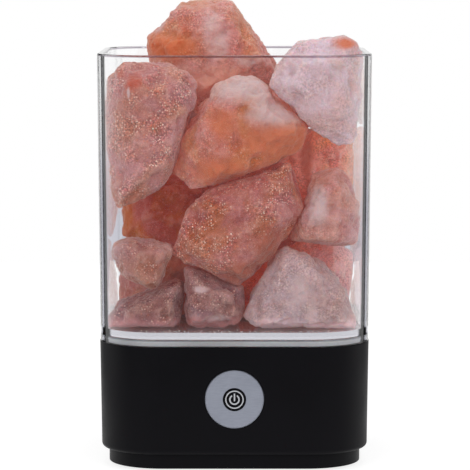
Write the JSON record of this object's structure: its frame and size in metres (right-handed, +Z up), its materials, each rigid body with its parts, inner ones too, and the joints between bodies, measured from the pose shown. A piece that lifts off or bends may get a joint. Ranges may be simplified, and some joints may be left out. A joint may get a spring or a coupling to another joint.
{
  "type": "crystal night light",
  "caption": "Rounded-square night light: a clear cup heaped with natural salt rocks lifts off a black base with a front push button, LED tray, battery and rear charging socket.",
  "frame": {"origin": "centre of the footprint, on the surface the feet rest on", "axes": "+Z up; -Y is the front with the button; +X is the right as seen from the front"},
  "size_m": [0.1014, 0.1014, 0.1717],
  "materials": {
    "base_black": "satin black moulded plastic",
    "button_silver": "satin silver",
    "inlay_black": "gloss black",
    "symbol_silver": "satin silver print",
    "plunger_black": "black plastic",
    "cup_clear": "clear polished",
    "diffuser_white": "frosted white",
    "reflector_white": "white",
    "board_white": "white solder mask",
    "board_green": "green solder mask",
    "led_yellow": "phosphor yellow",
    "chip_black": "black",
    "screw_steel": "zinc plated",
    "socket_steel": "bright nickel",
    "tab_nickel": "nickel strip",
    "cell_wrap": "blue shrink wrap",
    "strap_white": "white nylon",
    "wire_red": "red insulation",
    "wire_black": "black insulation",
    "foot_rubber": "matt rubber",
    "salt_pale": "rough broken salt",
    "salt_pink": "rough broken salt",
    "salt_rose": "rough broken salt",
    "salt_mauve": "rough broken salt",
    "salt_orange": "rough broken salt",
    "salt_amber": "rough broken salt"
  },
  "bodies": {
    "base": {"base_housing": "base_black", "bottom_cover": "base_black", "cover_screws": "screw_steel", "rubber_feet": "foot_rubber", "diffuser_plate": "diffuser_white", "reflector_tray": "reflector_white", "led_board": "board_white", "led_chips": "led_yellow", "led_board_screws": "screw_steel", "control_board": "board_green", "controller_chip": "chip_black", "control_board_screws": "screw_steel", "switch_body": "chip_black", "charge_board": "board_green", "charge_board_screws": "screw_steel", "socket_shell": "socket_steel", "socket_tongue": "chip_black", "battery_cradle": "base_black", "battery_cell": "cell_wrap", "battery_tabs": "tab_nickel", "battery_strap": "strap_white", "battery_lead_red": "wire_red", "battery_lead_black": "wire_black", "supply_lead_red": "wire_red", "supply_lead_black": "wire_black", "led_lead_red": "wire_red", "led_lead_black": "wire_black"},
    "button": {"power_button": "button_silver", "button_inlay": "inlay_black", "power_symbol": "symbol_silver", "switch_plunger": "plunger_black"},
    "cup": {"clear_cup": "cup_clear", "salt_rock_upper_left": "salt_rose", "salt_rock_upper_middle": "salt_orange", "salt_rock_upper_right": "salt_pale", "salt_rock_middle": "salt_rose", "salt_rock_right": "salt_pink", "salt_rock_lower_left": "salt_pink", "salt_rock_floor_left": "salt_pink", "salt_rock_floor_middle": "salt_mauve", "salt_rock_floor_right": "salt_pale", "salt_rock_summit": "salt_orange", "salt_rock_heart_upper": "salt_orange", "salt_rock_heart": "salt_amber", "salt_rock_heart_floor": "salt_amber", "salt_rock_left_upper": "salt_pink", "salt_rock_left_middle": "salt_amber", "salt_rock_left_floor": "salt_amber", "salt_rock_right_upper": "salt_rose", "salt_rock_right_middle": "salt_orange", "salt_rock_right_floor": "salt_pink", "salt_rock_rear_floor_left": "salt_pale", "salt_rock_rear_floor_right": "salt_rose", "salt_rock_rear_middle": "salt_pink", "salt_rock_rear_left": "salt_orange", "salt_rock_rear_right": "salt_pale", "salt_rock_rear_upper_left": "salt_mauve", "salt_rock_rear_upper_right": "salt_orange"}
  },
  "joints": [
    {"name": "button_press", "type": "slide", "parent": "base", "child": "button", "axis": [0, 1, 0], "range_m": [0, 0.0006], "stiffness_N_per_m": 3000},
    {"name": "cup_lift", "type": "slide", "parent": "base", "child": "cup", "axis": [0, 0, 1], "range_m": [0, 0.06]}
  ]
}
